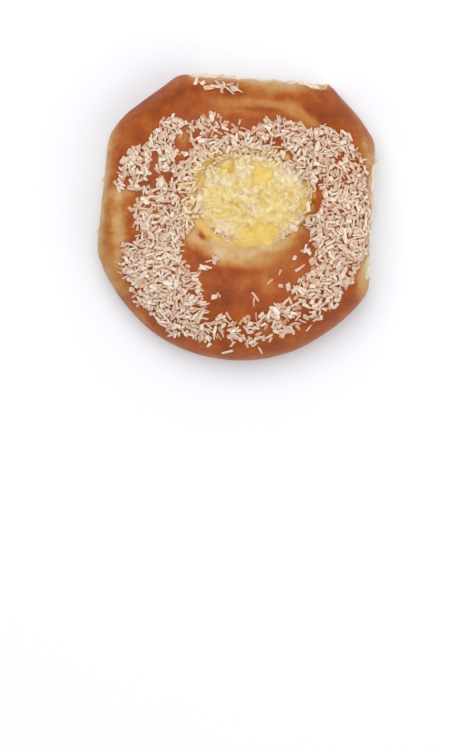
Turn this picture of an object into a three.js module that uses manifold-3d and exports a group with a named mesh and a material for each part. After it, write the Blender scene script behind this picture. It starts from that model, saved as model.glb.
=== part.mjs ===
// A custard coconut bun: a flat, round, sweet yeast bun with a pool of baked custard pressed into
// its middle and shredded coconut stuck over its crown with a thin sugar glaze.
// It was baked against three neighbours, so three of its sides are flat and torn, and the rest of
// its edge is round. There are two pieces, the dough and the custard, and the larger coconut
// shreds are fused to whichever of the two they lie on.
// Millimetres. +Z is up, +X is right and +Y is up as the bun is seen from above. The bun stands on
// Z = 0, with the origin under the middle of its outer box.

import * as THREE from "three";
import { mergeVertices } from "three/addons/utils/BufferGeometryUtils.js";
import Module from "manifold-3d";

const wasm = await Module();
wasm.setup();

const DEGREE = Math.PI / 180;
const { clamp, lerp, smoothstep } = THREE.MathUtils;

// The dough's outline: a circle cut flat where neighbours were torn away, at 86, 174 and -3
// degrees, and a little flattened at 126 degrees, where it is free. A flap of torn crust draws out
// the corner at 54 degrees. The flats cut the circle unevenly, so its round middle lies a little
// off the origin. Lengths from here on are measured from there.
const BUN_MIDDLE = new THREE.Vector2(0.5, 3.5);
const BUN_RADIUS = 66;
const RIGHT_BULGE = 1.4;
const CORNER_BLEND = 1.8;
const CORNER_FLAP = { facing: 54 * DEGREE, spread: 5 * DEGREE, reach: 1.5 };
const FLAT_SIDES = [
  { facing: 86 * DEGREE, distance: 57.8 },
  { facing: 126 * DEGREE, distance: 63.5 },
  { facing: 174 * DEGREE, distance: 59.9 },
  { facing: -3 * DEGREE, distance: 59 },
];
const TORN_DEPTH = 4;

// The dough's heights, and its section: an elliptical tuck under the widest level, and above it
// a superellipse up to the crest, which lies a share of the way from the well's lip to the edge.
const WIDEST_HEIGHT = 11;
const CREST_HEIGHT = 34;
const LIP_HEIGHT = 31.5;
const FREE_TUCK = 9;
const TORN_TUCK = 4;
const CREST_SHARE = 0.34;
const CREST_AT = 0.3;
const FREE_ROUNDNESS = 2.15;
const TORN_ROUNDNESS = 3.4;

// The well and the custard in it, as ellipses.
const LIP = { x: 4.5, y: 1.3, reachX: 28.5, reachY: 24.2, height: LIP_HEIGHT };
const POOL = { x: 6.6, y: 4.2, reachX: 24.6, reachY: 19.6, height: 27.5 };
const WELL_FOLD = { x: 6.6, y: 4.2, reachX: 21, reachY: 16, height: 21 };
const FLOOR = { x: 6.6, y: 4.2, reachX: 15, reachY: 11, height: 17.5 };
const CUSTARD_GAP = 0.3;
const CUSTARD_DOME = 1.8;

// Relief: slow lumps, creases where the crust stretched, and the rough torn sides. A crease lies
// at a share of the outline, which counts no further out than the limit, so that a crease cuts
// across the corners.
const LUMP = { height: 0.55, spacing: 17 };
const CREASE_LIMIT = 63;
const CREASES = [
  { share: 0.765, facing: 73 * DEGREE, spread: 38 * DEGREE, width: 2, depth: 0.9 },
  { share: 0.85, facing: 183 * DEGREE, spread: 19 * DEGREE, width: 1.8, depth: 0.6 },
];
const TEAR = { height: 1, spacing: 7.5, band: 4, top: 24, fade: 2.5 };
const CUSTARD_LUMP = { height: 0.7, spacing: 7 };

// Coconut. Each row gives, at an angle round the dough's middle, where the band of coconut begins
// and ends and how much of it is covered.
const COCONUT_BAND = [
  { angle: 0, inner: 33, outer: 59, cover: 0.95 },
  { angle: 22, inner: 30, outer: 58, cover: 0.95 },
  { angle: 40, inner: 29, outer: 50, cover: 0.95 },
  { angle: 65, inner: 27, outer: 43, cover: 0.85 },
  { angle: 88, inner: 26, outer: 38, cover: 0.75 },
  { angle: 105, inner: 28, outer: 43, cover: 0.55 },
  { angle: 130, inner: 26, outer: 50, cover: 0.55 },
  { angle: 160, inner: 24, outer: 57, cover: 0.9 },
  { angle: 180, inner: 24, outer: 46, cover: 0.7 },
  { angle: 205, inner: 29, outer: 53, cover: 0.95 },
  { angle: 240, inner: 36, outer: 62, cover: 0.95 },
  { angle: 254, inner: 43, outer: 60, cover: 0.45 },
  { angle: 285, inner: 44, outer: 60, cover: 0.4 },
  { angle: 308, inner: 43, outer: 60, cover: 0.6 },
  { angle: 325, inner: 41, outer: 61, cover: 0.9 },
  { angle: 337, inner: 37, outer: 60, cover: 0.95 },
  { angle: 345, inner: 33, outer: 59, cover: 0.95 },
  { angle: 360, inner: 33, outer: 59, cover: 0.95 },
];
const BAND_FADE = 1.5;
const BARE_CUSTARD = { x: 10.5, y: 14.5, reach: 6 };
const CRUST_COCONUT = { shreds: 200, spacing: 2.5, seed: 11 };
const CRUST_COCONUT_ALONG = [0.02, 0.85];
const CUSTARD_COCONUT = { shreds: 40, spacing: 3.4, seed: 23 };
const CUSTARD_COCONUT_REACH = 0.95;

// One shred: a flat strip, narrower at one end, bent sideways and drooping at both ends.
const SHRED = {
  length: [3.4, 6.6],
  lengthVariety: 0.3,
  width: [1.1, 1.9],
  thickness: 0.75,
  narrowing: [0.55, 0.95],
  bend: [-0.5, 0.5],
  droop: 0.25,
  curledFrom: 5.3,
  sunk: 0.2,
  pitch: [-9 * DEGREE, 9 * DEGREE],
  roll: [-20 * DEGREE, 20 * DEGREE],
  clearance: 0.6,
};

// How finely the dough and the custard are faceted.
const ROUND_STEPS = 72;
const SIDE_STEPS = 4;
const QUADRANT_STEPS = 8;
const LIP_STEPS = 3;
const POOL_ROUND_STEPS = 40;
const POOL_TOP_STEPS = 5;
const TRIES = 60000;

// A repeatable random number from 0 to 1, from a seed.
function makeRandom(seed) {
  let state = seed;
  return () => {
    state = (state + 0x6d2b79f5) | 0;
    let mixed = Math.imul(state ^ (state >>> 15), 1 | state);
    mixed = (mixed + Math.imul(mixed ^ (mixed >>> 7), 61 | mixed)) ^ mixed;
    return ((mixed ^ (mixed >>> 14)) >>> 0) / 4294967296;
  };
}

function between([low, high], share) {
  return lerp(low, high, share);
}

// Smooth noise from -1 to 1: random values at the corners of a unit grid, blended between them.
function cornerValue(i, j, k) {
  const wave = Math.sin(i * 127.1 + j * 311.7 + k * 74.7) * 43758.5453;
  return 2 * (wave - Math.floor(wave)) - 1;
}

function noise(x, y, z) {
  const cell = [Math.floor(x), Math.floor(y), Math.floor(z)];
  const [u, v, w] = [x - cell[0], y - cell[1], z - cell[2]].map((f) => f * f * (3 - 2 * f));
  const [i, j, k] = cell;
  const along = (jj, kk) => lerp(cornerValue(i, jj, kk), cornerValue(i + 1, jj, kk), u);
  return lerp(lerp(along(j, k), along(j + 1, k), v), lerp(along(j, k + 1), along(j + 1, k + 1), v), w);
}

function turnBetween(a, b) {
  return Math.atan2(Math.sin(a - b), Math.cos(a - b));
}

// The smaller of two lengths, rounded off where they meet.
function softMin(a, b, blend) {
  const share = clamp(0.5 + (0.5 * (b - a)) / blend, 0, 1);
  return lerp(b, a, share) - blend * share * (1 - share);
}

// From the dough's middle to its edge, without the flat sides.
function roundRadius(angle) {
  const turned = turnBetween(angle, CORNER_FLAP.facing) / CORNER_FLAP.spread;
  return BUN_RADIUS + RIGHT_BULGE * Math.cos(angle) + CORNER_FLAP.reach * Math.exp(-turned * turned);
}

// From the dough's middle to its edge.
function outline(angle) {
  let reach = roundRadius(angle);
  for (const side of FLAT_SIDES) {
    const facing = Math.cos(angle - side.facing);
    if (facing > 0) reach = softMin(reach, side.distance / facing, CORNER_BLEND);
  }
  return reach;
}

// 1 where a neighbour was torn away and left the edge flat, and 0 where the edge is free.
function tornShare(angle) {
  return smoothstep(roundRadius(angle) - outline(angle), 0.5, TORN_DEPTH);
}

function onEllipse(ellipse, angle, inset = 0) {
  return new THREE.Vector3(
    ellipse.x + (ellipse.reachX - inset) * Math.cos(angle),
    ellipse.y + (ellipse.reachY - inset) * Math.sin(angle),
    ellipse.height,
  );
}

function onOutline(angle, inset, height) {
  const reach = outline(angle) - inset;
  return new THREE.Vector3(reach * Math.cos(angle), reach * Math.sin(angle), height);
}

// The crown without relief: along is 0 at the well's lip, CREST_AT on the crest and 1 at the
// widest level of the side.
function smoothCrown(angle, along) {
  const lip = onEllipse(LIP, angle);
  const edge = onOutline(angle, 0, WIDEST_HEIGHT);
  let share;
  let height;
  if (along < CREST_AT) {
    share = (CREST_SHARE * along) / CREST_AT;
    height = lerp(LIP_HEIGHT, CREST_HEIGHT, Math.sin((along / CREST_AT) * 90 * DEGREE));
  } else {
    const turn = Math.min((along - CREST_AT) / (1 - CREST_AT), 1) * 90 * DEGREE;
    const power = 2 / lerp(FREE_ROUNDNESS, TORN_ROUNDNESS, tornShare(angle));
    share = lerp(CREST_SHARE, 1, Math.sin(turn) ** power);
    height = lerp(WIDEST_HEIGHT, CREST_HEIGHT, Math.max(Math.cos(turn), 0) ** power);
  }
  return new THREE.Vector3(lerp(lip.x, edge.x, share), lerp(lip.y, edge.y, share), height);
}

// How far the real surface stands proud of the smooth one at a point of the dough.
function relief(point) {
  const angle = Math.atan2(point.y, point.x);
  const reach = Math.hypot(point.x, point.y);
  const edge = outline(angle);
  const lump = (spacing) => noise(point.x / spacing, point.y / spacing, point.z / spacing);
  let proud = LUMP.height * lump(LUMP.spacing);
  for (const crease of CREASES) {
    const off = (reach - crease.share * Math.min(edge, CREASE_LIMIT)) / crease.width;
    const turned = Math.abs(turnBetween(angle, crease.facing)) / crease.spread;
    proud -= crease.depth * Math.exp(-off * off) * (1 - smoothstep(turned, 0.6, 1));
  }
  const wall = smoothstep(reach, edge - TEAR.band, edge - TEAR.band + TEAR.fade);
  const level = smoothstep(TEAR.top - point.z, 0, TEAR.fade) * smoothstep(point.z, 0, TEAR.fade);
  return proud + TEAR.height * lump(TEAR.spacing) * wall * level * tornShare(angle);
}

// The direction out of a surface given by a function of angle and along.
function outward(surface, angle, along) {
  const step = 0.002;
  const here = surface(angle, along);
  const round = surface(angle + step, along).sub(here);
  const across = surface(angle, along - step).sub(here);
  return round.cross(across).normalize();
}

function crown(angle, along) {
  const point = smoothCrown(angle, along);
  const out = outward(smoothCrown, angle, Math.max(along, 0.01));
  return point.addScaledVector(out, relief(point));
}

// The custard's upper face: along is 0 in its middle and 1 at its edge.
function custardTop(angle, along) {
  const edge = onEllipse(POOL, angle, CUSTARD_GAP);
  const point = new THREE.Vector3(lerp(POOL.x, edge.x, along), lerp(POOL.y, edge.y, along), 0);
  const lump = noise(point.x / CUSTARD_LUMP.spacing, point.y / CUSTARD_LUMP.spacing, 0.5);
  const dome = CUSTARD_DOME * (1 - along ** 2.5);
  point.z = POOL.height - CUSTARD_GAP + dome + CUSTARD_LUMP.height * lump * (1 - along ** 4);
  return point;
}

// A closed surface from rings of points. A lathe gives the rings, whose points are then moved to
// where each ring's own function puts them. The first and last ring are single points.
function closedSurface(rings, roundSteps) {
  const profile = rings.map((_, i) => {
    const end = i === 0 || i === rings.length - 1;
    return new THREE.Vector2(end ? 0 : 1 + i, i);
  });
  const lathe = new THREE.LatheGeometry(profile, roundSteps);
  const places = lathe.getAttribute("position");
  for (let step = 0; step <= roundSteps; step++) {
    const angle = ((step % roundSteps) / roundSteps) * 360 * DEGREE;
    rings.forEach((ring, i) => {
      const point = ring(angle);
      places.setXYZ(step * rings.length + i, point.x, point.y, point.z);
    });
  }
  return lathe;
}

function doughSurface() {
  const rings = [() => new THREE.Vector3(0, 0, 0)];
  for (let step = SIDE_STEPS; step > 0; step--) {
    const turn = (step / SIDE_STEPS) * 90 * DEGREE;
    rings.push((angle) => {
      const inset = lerp(FREE_TUCK, TORN_TUCK, tornShare(angle)) * (1 - Math.cos(turn));
      const point = onOutline(angle, inset, WIDEST_HEIGHT * (1 - Math.sin(turn)));
      const proud = step === SIDE_STEPS ? 0 : relief(point);
      return onOutline(angle, inset - proud, point.z);
    });
  }
  for (let step = QUADRANT_STEPS; step > 0; step--) {
    const along = lerp(CREST_AT, 1, step / QUADRANT_STEPS);
    rings.push((angle) => crown(angle, along));
  }
  for (let step = LIP_STEPS; step >= 0; step--) {
    const along = (CREST_AT * step) / LIP_STEPS;
    rings.push((angle) => crown(angle, along));
  }
  rings.push((angle) => onEllipse(POOL, angle));
  rings.push((angle) => onEllipse(WELL_FOLD, angle));
  rings.push((angle) => onEllipse(FLOOR, angle));
  rings.push(() => new THREE.Vector3(FLOOR.x, FLOOR.y, FLOOR.height));
  return closedSurface(rings, ROUND_STEPS);
}

function custardSurface() {
  const lifted = (ellipse) => (angle) => {
    const point = onEllipse(ellipse, angle, CUSTARD_GAP);
    point.z += CUSTARD_GAP;
    return point;
  };
  const rings = [
    () => new THREE.Vector3(FLOOR.x, FLOOR.y, FLOOR.height + CUSTARD_GAP),
    lifted(FLOOR),
    lifted(WELL_FOLD),
  ];
  for (let step = POOL_TOP_STEPS; step >= 0; step--) {
    rings.push((angle) => custardTop(angle, step / POOL_TOP_STEPS));
  }
  return closedSurface(rings, POOL_ROUND_STEPS);
}

// How much of the crown is covered by coconut at a point, from 0 to 1.
function crustCover(point) {
  const degrees = (Math.atan2(point.y, point.x) / DEGREE + 360) % 360;
  const reach = Math.hypot(point.x, point.y);
  const after = COCONUT_BAND.findIndex((row) => row.angle > degrees);
  const [a, b] = [COCONUT_BAND[after - 1], COCONUT_BAND[after]];
  const share = (degrees - a.angle) / (b.angle - a.angle);
  const inner = lerp(a.inner, b.inner, share);
  const outer = lerp(a.outer, b.outer, share);
  const inside = smoothstep(reach, inner - BAND_FADE, inner + BAND_FADE);
  const beyond = smoothstep(reach, outer - BAND_FADE, outer + BAND_FADE);
  return lerp(a.cover, b.cover, share) * inside * (1 - beyond);
}

function custardCover(point) {
  const off = Math.hypot(point.x - BARE_CUSTARD.x, point.y - BARE_CUSTARD.y);
  return smoothstep(off, BARE_CUSTARD.reach - BAND_FADE, BARE_CUSTARD.reach + BAND_FADE);
}

// A point's place between the middle of an ellipse, 0, and its rim, 1.
function ellipseShare(ellipse, point) {
  return Math.hypot((point.x - ellipse.x) / ellipse.reachX, (point.y - ellipse.y) / ellipse.reachY);
}

// One shred of coconut, lying along X.
function shredGeometry(length, random) {
  const steps = length > SHRED.curledFrom ? 2 : 1;
  const width = between(SHRED.width, random());
  const strip = new THREE.BoxGeometry(length, width, SHRED.thickness, steps, 1, 1);
  const narrowing = between(SHRED.narrowing, random());
  const bend = between(SHRED.bend, random());
  const places = strip.getAttribute("position");
  for (let i = 0; i < places.count; i++) {
    const end = (2 * places.getX(i)) / length;
    const y = places.getY(i) * lerp(1, narrowing, (1 + end) / 2) + bend * end * end;
    places.setXYZ(i, places.getX(i), y, places.getZ(i) - SHRED.droop * end * end);
  }
  return strip;
}

// How a shred lies on a surface that faces out: turned any way, and a little pitched and rolled.
function shredLie(out, random) {
  const lie = new THREE.Quaternion().setFromUnitVectors(new THREE.Vector3(0, 0, 1), out);
  const roll = between(SHRED.roll, random());
  const pitch = between(SHRED.pitch, random());
  const turn = new THREE.Euler(roll, pitch, random() * 360 * DEGREE, "ZYX");
  return lie.multiply(new THREE.Quaternion().setFromEuler(turn));
}

// Lays shreds over a surface, the longest first, none closer to another than the spacing, and
// each with both ends in the clear.
function layShreds(surface, coconut, cover, alongFrom, clear) {
  const random = makeRandom(coconut.seed);
  const strips = [];
  const middles = [];
  for (let tries = 0; tries < TRIES && strips.length < coconut.shreds; tries++) {
    const angle = random() * 360 * DEGREE;
    const along = alongFrom(random());
    const middle = surface(angle, along);
    const wanted = random() < cover(middle);
    if (!wanted || middles.some((other) => other.distanceTo(middle) < coconut.spacing)) continue;
    const size = (1 - strips.length / coconut.shreds) * (1 - SHRED.lengthVariety * random());
    const length = between(SHRED.length, size);
    const out = outward(surface, angle, along);
    const lie = shredLie(out, random);
    const end = new THREE.Vector3(length / 2 + SHRED.clearance, 0, 0).applyQuaternion(lie);
    if (!clear(middle.clone().add(end)) || !clear(middle.clone().sub(end))) continue;
    const place = middle.clone().addScaledVector(out, SHRED.thickness / 2 - SHRED.sunk);
    strips.push(shredGeometry(length, random).applyQuaternion(lie).translate(...place));
    middles.push(middle);
  }
  return strips;
}

function toSolid(geometry) {
  const bare = geometry.clone();
  bare.deleteAttribute("normal");
  bare.deleteAttribute("uv");
  const merged = mergeVertices(bare, 1e-4);
  return new wasm.Manifold(
    new wasm.Mesh({
      numProp: 3,
      vertProperties: merged.getAttribute("position").array,
      triVerts: new Uint32Array(merged.index.array),
    }),
  );
}

function toGeometry(solid) {
  const mesh = solid.getMesh();
  const geometry = new THREE.BufferGeometry();
  const places = new Float32Array(mesh.vertProperties);
  geometry.setAttribute("position", new THREE.BufferAttribute(places, mesh.numProp));
  geometry.setIndex(new THREE.BufferAttribute(new Uint32Array(mesh.triVerts), 1));
  geometry.computeVertexNormals();
  return geometry;
}

// Joins shreds to a body as one solid, without loose scraps or sealed hollows.
function fuse(body, shreds) {
  const joined = wasm.Manifold.union([toSolid(body), ...shreds.map(toSolid)]);
  const shells = joined.decompose().sort((a, b) => b.volume() - a.volume());
  return toGeometry(shells[0]);
}

function crustShreds() {
  const alongFrom = (draw) => between(CRUST_COCONUT_ALONG, Math.sqrt(draw));
  const clear = (point) => ellipseShare(LIP, point) > 1;
  return layShreds(crown, CRUST_COCONUT, crustCover, alongFrom, clear);
}

function custardShreds() {
  const clear = (point) => ellipseShare(POOL, point) < CUSTARD_COCONUT_REACH;
  return layShreds(custardTop, CUSTARD_COCONUT, custardCover, Math.sqrt, clear);
}

function addNode(group, name, geometry, material) {
  const mesh = new THREE.Mesh(geometry, material);
  mesh.name = name;
  group.add(mesh);
}

const crustFinish = new THREE.MeshStandardMaterial({ color: 0xb5682f, roughness: 0.5, metalness: 0 });
const custardFinish = new THREE.MeshStandardMaterial({ color: 0xebcd78, roughness: 0.35, metalness: 0 });

const bun = new THREE.Group();
addNode(bun, "dough", fuse(doughSurface(), crustShreds()), crustFinish);
addNode(bun, "custard", fuse(custardSurface(), custardShreds()), custardFinish);
bun.position.set(BUN_MIDDLE.x, BUN_MIDDLE.y, 0);

export default bun;
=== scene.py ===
import math

import bmesh
import bpy
import numpy as np
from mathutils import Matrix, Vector
from mathutils.bvhtree import BVHTree


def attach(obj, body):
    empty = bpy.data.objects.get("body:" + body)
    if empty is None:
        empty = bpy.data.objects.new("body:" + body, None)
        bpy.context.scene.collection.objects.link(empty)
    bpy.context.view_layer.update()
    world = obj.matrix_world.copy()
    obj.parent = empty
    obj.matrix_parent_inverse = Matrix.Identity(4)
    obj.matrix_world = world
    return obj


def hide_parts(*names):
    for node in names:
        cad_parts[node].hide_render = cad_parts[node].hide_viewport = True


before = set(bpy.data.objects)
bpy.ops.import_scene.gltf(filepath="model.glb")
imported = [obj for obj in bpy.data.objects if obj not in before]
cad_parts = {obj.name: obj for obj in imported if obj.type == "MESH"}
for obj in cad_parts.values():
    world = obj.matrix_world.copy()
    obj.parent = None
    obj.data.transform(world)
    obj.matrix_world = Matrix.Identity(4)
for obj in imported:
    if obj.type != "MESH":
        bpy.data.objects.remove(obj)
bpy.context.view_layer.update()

# A custard coconut bun, seen from straight above. Its dough and custard are made again as fine
# meshes, from the same sizes as the solids, and the coconut is laid over them shred by shred.
# Shapes are worked out in millimetres from the dough's round middle, X right and Y up as seen
# from above, and put into the frame's metres when a mesh is made.

METRES = 0.001
DEGREE = math.pi / 180
FLOOR_HEIGHT = 0.0


def spot(x, y, reach_x, reach_y, turn=0, amount=1.0):
    """A turned ellipse on the bun, as seen from above, and how much it does there."""
    return {"x": x, "y": y, "reach_x": reach_x, "reach_y": reach_y, "turn": turn * DEGREE, "amount": amount}


# The dough's outline: a circle cut flat where neighbours were torn away, and a little flattened
# at 126 degrees, where it is free. A flap of torn crust draws out the corner at 54 degrees.
BUN_MIDDLE = (0.5, 3.5)
BUN_RADIUS = 66
RIGHT_BULGE = 1.4
CORNER_BLEND = 1.8
CORNER_FLAP = {"facing": 54 * DEGREE, "spread": 5 * DEGREE, "reach": 1.5}
FLAT_SIDES = [
    {"facing": 86 * DEGREE, "distance": 57.8},
    {"facing": 126 * DEGREE, "distance": 63.5},
    {"facing": 174 * DEGREE, "distance": 59.9},
    {"facing": -3 * DEGREE, "distance": 59},
]
# How far a torn side cuts in, at first and in full.
TORN_DEPTH = (0.5, 4)

# The dough's heights and section, from its tuck to the lip of the well.
WIDEST_HEIGHT = 11
CREST_HEIGHT = 34
LIP_HEIGHT = 31.5
FREE_TUCK = 9
TORN_TUCK = 4
CREST_SHARE = 0.34
CREST_AT = 0.3
FREE_ROUNDNESS = 2.15
TORN_ROUNDNESS = 3.4

# The well and the custard in it, as ellipses.
LIP = {"x": 4.5, "y": 1.3, "reach_x": 28.5, "reach_y": 24.2, "height": LIP_HEIGHT}
POOL = {"x": 6.6, "y": 4.2, "reach_x": 24.6, "reach_y": 19.6, "height": 27.5}
WELL_FOLD = {**POOL, "reach_x": 21, "reach_y": 16, "height": 21}
WELL_FLOOR = {**POOL, "reach_x": 15, "reach_y": 11, "height": 17.5}
# The custard's dome, and how far it rises over the shreds in it, inside its edge.
CUSTARD_DOME = 1.8
CUSTARD_COATING = 1.0
# How far the custard spreads up the wall of the well, as a share of the wall: at the lower side
# and at the upper. Its edge ends a little inside the dough.
CUSTARD_SPREAD = (0.12, 0.4)
CUSTARD_EDGE_SUNK = 0.6

# Relief that the solids have too. A crease lies at a share of the outline, which counts no further
# out than the limit, so that a crease cuts across the corners.
LUMP = {"height": 0.55, "spacing": 17}
CREASE_LIMIT = 63
CREASES = [
    {"share": 0.765, "facing": 73 * DEGREE, "spread": 38 * DEGREE, "width": 2, "depth": 0.9},
    {"share": 0.85, "facing": 183 * DEGREE, "spread": 19 * DEGREE, "width": 1.8, "depth": 0.6},
]
# Layers of noise: how much, over how many millimetres, and a shift.
SKIN = [(0.09, 5.2, 4.4), (0.035, 1.7, 6.1), (0.02, 0.9, 0)]
CRUST_TONE = [(0.08, 21, 3.3), (0.09, 6, 1.9), (0.05, 2.4, 4.2), (0.03, 1.1, 5.5)]
LIP_TONE = [(0.1, 4, 9.1), (0.05, 1.4, 2.9)]
LIP_RAGGED = [(0.05, 5, 6.6), (0.02, 1.5, 0)]
STAIN_RAGGED = [(0.05, 3, 0), (0.03, 1.2, 0)]
CUSTARD_RAGGED = [(0.08, 5, 1.7), (0.04, 2, 3.1)]
TORN_RAGGED = [(1.3, 2.1, 0), (0.5, 1.1, 0)]
FEATHERS = [(1.05, 3.3, 0), (0.45, 1.5, 5.3), (0.25, 0.8, 2.1)]

# How brown crust, base and pale lip are, from 0 to 1, and where crust is paler: by how much, and
# between which distances or heights that fades.
CRUST_BROWN = 0.78
BASE_BROWN = 0.66
LIP_BROWN = 0.22
LIP_PALE = {"reach": 1.0, "wider": 0.12, "facing": 240 * DEGREE}
CREASE_PALE = 0.2
TORN_EDGE_PALE = [(0.2, 0.5, 9), (0.18, 0, 3.5)]
FREE_SIDE_PALE = (0.3, 1, 12)
# The crust is paler low on every side: partly its own lighter colour, partly painted light that offsets the
# shade of the sloping sides.
SIDE_PALE_AND_PAINTED_LIGHT = (0.08, 14, 26)
# Pale patches, below zero, and dark ones: in the crust, and in the pale lip and wall of the well.
CRUST_PATCHES_AND_SHADE = [
    spot(5, 46.5, 20, 2.6, -3, -0.08), spot(33, 37.5, 11, 1.6, -42, -0.15),
    spot(25, 42, 8, 2.4, -28, -0.1), spot(13, 45.6, 10, 1.6, -8, -0.1),
    # The first patch in this row, a thin dark line along the crown's crease, is painted shade in the crease.
    spot(8, 43.3, 11, 1.2, -4, 0.18), spot(-52, -8, 4, 17, 4, -0.26), spot(-49.5, 7, 7, 4.5, 5, -0.26),
    spot(9, 56, 34, 6.5, -3, -0.2), spot(56, -30, 6, 16, 12, -0.4), spot(-57, -23, 9, 15, 20, -0.3),
    # The second patch in this row, a dark band along the upper-left edge, is partly browner crust and partly
    # painted shade where the crust slopes away.
    spot(-38, 42, 16, 9, 45, 0.02), spot(-39, 50.5, 18, 3.4, 36, 0.18), spot(-30, 50, 5, 9, -60, 0.06),
    spot(44, 42, 14, 6, -48, 0.04), spot(-24, 46, 5, 8, 20, 0.04), spot(6, -38, 16, 4, 0, 0.04),
    spot(2, -31, 12, 4, 4, -0.07), spot(28, 49, 10, 5, -20, -0.07), spot(50, 32, 7, 5, -50, -0.07),
    spot(58, 25, 4.5, 8, 22, -0.17), spot(45, 45, 3, 16, 45, -0.03),
    spot(-58.5, 14, 3.4, 24, -6, -0.16), spot(-56.5, 30, 3.6, 8, -30, -0.26),
    spot(-54.5, 19.5, 3.5, 7, -15, -0.09), spot(-48, -46, 6, 12, 42, -0.12),
    spot(57.5, 0, 2.8, 28, 3, -0.3), spot(-24.5, 31, 4.5, 3.5, -30, -0.2),
]
LIP_PATCHES = [
    spot(-15, -11, 5.5, 3, -38, 0.16), spot(30, -2, 6, 10, -10, 0.3), spot(11, -21.5, 10, 3, 14, 0.2),
    spot(-20, 14, 6, 9, -20, 0.2),
]
# Custard smeared over the wall, and soaked into the coconut, furthest at the upper left.
STAIN = {"reach": 1.06, "wider": 0.09, "facing": 140 * DEGREE}
SOAKED = {"reach": 1.05, "wider": 0.16, "facing": 165 * DEGREE}
# A dark blister and wrinkles on the crown, which begins between two heights.
BLISTER = spot(-15.7, -11.8, 1.5, 2.2, 15, 0.45)
CROWN_FROM = (24, 27)
WRINKLES = [spot(22, -16.5, 11, 4, 28), spot(33, 40, 9, 4.5, -42)]
# Folds in the custard: from one point to another, width and depth. They are also painted darker, as painted
# shade in the folds.
CUSTARD_FOLDS = [
    ((-1.5, 23), (-4.5, 13), 0.8, 0.45),
    ((-14, 17), (-15.5, 5), 1.2, 0.4),
    ((16, 8.5), (24, 7), 0.6, 0.4),
    ((25.3, 6), (25.6, 1.5), 0.5, 0.6),
    ((-4, 3.5), (1, 1), 1.0, 0.3),
    ((-13, -4), (-6, -11), 0.8, 0.3),
]
CUSTARD_LUMP = {"height": 0.7, "spacing": 7}
# The torn faces, on three of the flat sides: the middle and reach of each along its side, and the
# height where its crust begins.
TORN_FACES = [
    {**FLAT_SIDES[0], "middle": -5.5, "reach": 29.5, "top": 25.5},
    {**FLAT_SIDES[2], "middle": 1, "reach": 19, "top": 14},
    {**FLAT_SIDES[3], "middle": -1, "reach": 25, "top": 25},
]
# They begin at this height, and go in no further than the inset from the flat side.
TORN_BOTTOM = 1.5
TORN_INSET = 3.6
TORN_INSET_FADE = 1.2
TORN_FADE = 0.9
# The torn crumb's relief.
TEAR = {"height": 1, "spacing": 7.5}
FEATHER_HEIGHT = 1.2
PORE_DEPTH = 0.8
HOLE_DEPTH = 1.2
CRUMB_SUNK = 0.25
# Relief heights over which the crumb goes from dark to pale: painted shade low in the pores and holes.
CRUMB_DEPTHS = (-1.6, 0.6)

# Coconut. Each row gives, at an angle round the dough's middle, where the band of coconut begins
# and ends and how much of it is covered.
COCONUT_BAND = [
    (0, 34, 57.5, 0.95), (14, 30, 57.5, 0.95), (22, 29, 60, 0.74), (31, 29, 56.5, 0.7),
    (45, 28, 50, 0.7), (51, 26, 46, 0.74), (64, 24, 43, 0.76), (69, 24, 41.5, 0.82), (74, 24, 38, 0.8),
    (84, 23, 36.5, 0.74), (98, 20, 38, 0.6), (106, 20, 42, 0.62), (116, 18, 41, 0.65),
    (128, 18, 49, 0.6), (138, 17, 48.5, 0.6), (146, 16, 49, 0.75), (152, 15, 53.5, 1.0),
    (171, 14, 55, 1.0), (175, 14, 45, 0.95), (192, 17, 44, 1.0), (198, 21, 53, 1.0),
    (207, 27, 56.5, 1.0), (220, 32, 59, 1.0), (240, 34, 60, 1.0), (248, 40, 59, 0.7),
    (258, 47, 59, 0.45), (288, 48, 59, 0.45), (300, 43, 59, 0.5), (312, 42.5, 59, 0.7),
    (319, 41.5, 59, 0.85), (328, 39.5, 59, 0.95), (336, 37, 59, 1.0), (342, 32.5, 58.5, 1.0),
    (350, 30.5, 58, 1.0), (360, 34, 57.5, 0.95),
]
BAND_FADE = 1.5
# Noise over places: how much, on which level, over how many millimetres, and a shift.
BAND_RAGGED = (1.8, 0, 4, 2.2)
CRUST_PATCHY = (1.1, 5, 6, 1.1)
CUSTARD_PATCHY = (0.6, 1, 6, 4.4)
SPOT_EDGE = (0.75, 1.15)
# Bare places inside the band.
BARE_SPOTS = [
    spot(-47.5, 5.5, 8, 3, 5), spot(-40.5, 10.5, 3.5, 1.6, 15), spot(-24, 28, 4.6, 3.8, 15),
    spot(-18, 32.5, 2.6, 2.6), spot(-3.5, 32, 1.2, 6, -5), spot(-37, 15, 1.8, 9, 5),
    spot(-30, 14, 5, 1.8, -20), spot(-26, 21, 3.5, 2.2, 40), spot(-40, 30, 1.4, 5, -30),
    spot(34.5, 4, 2.8, 6.5, -6), spot(-47, -11, 3.4, 5.5, 10), spot(57.5, 10, 2.4, 4),
    spot(44, 21, 1.3, 5, -35), spot(49, -26, 1.5, 4, -30), spot(-17, 11.5, 1.8, 6, -5),
]
# Stray shreds outside it: where, how far apart and how many.
STRAY_SPOTS = [
    (-14.5, 56, 4, 6), (-8.5, 53, 4.5, 7), (-1, 53, 3.5, 6), (7, 55, 1.5, 2), (-10.3, -22, 2, 4),
    (-12.5, -26, 1, 2), (-16, -26, 1.5, 2), (-9, -38, 1.5, 2), (7, -40, 2, 2), (30, -18.5, 2.5, 4),
    (24.5, -21.5, 1, 1), (27, -26, 1, 1), (18.5, -28, 1, 1), (14, -31.5, 1, 1), (18, -33.5, 1.5, 1),
    (24, -35, 2.5, 3), (31, -30.5, 1.5, 2), (28, -37, 3, 4), (-31, -56, 6, 6), (2, -61, 7, 6),
    (33, -55, 6, 6), (52, -42, 4, 4),
]
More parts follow.
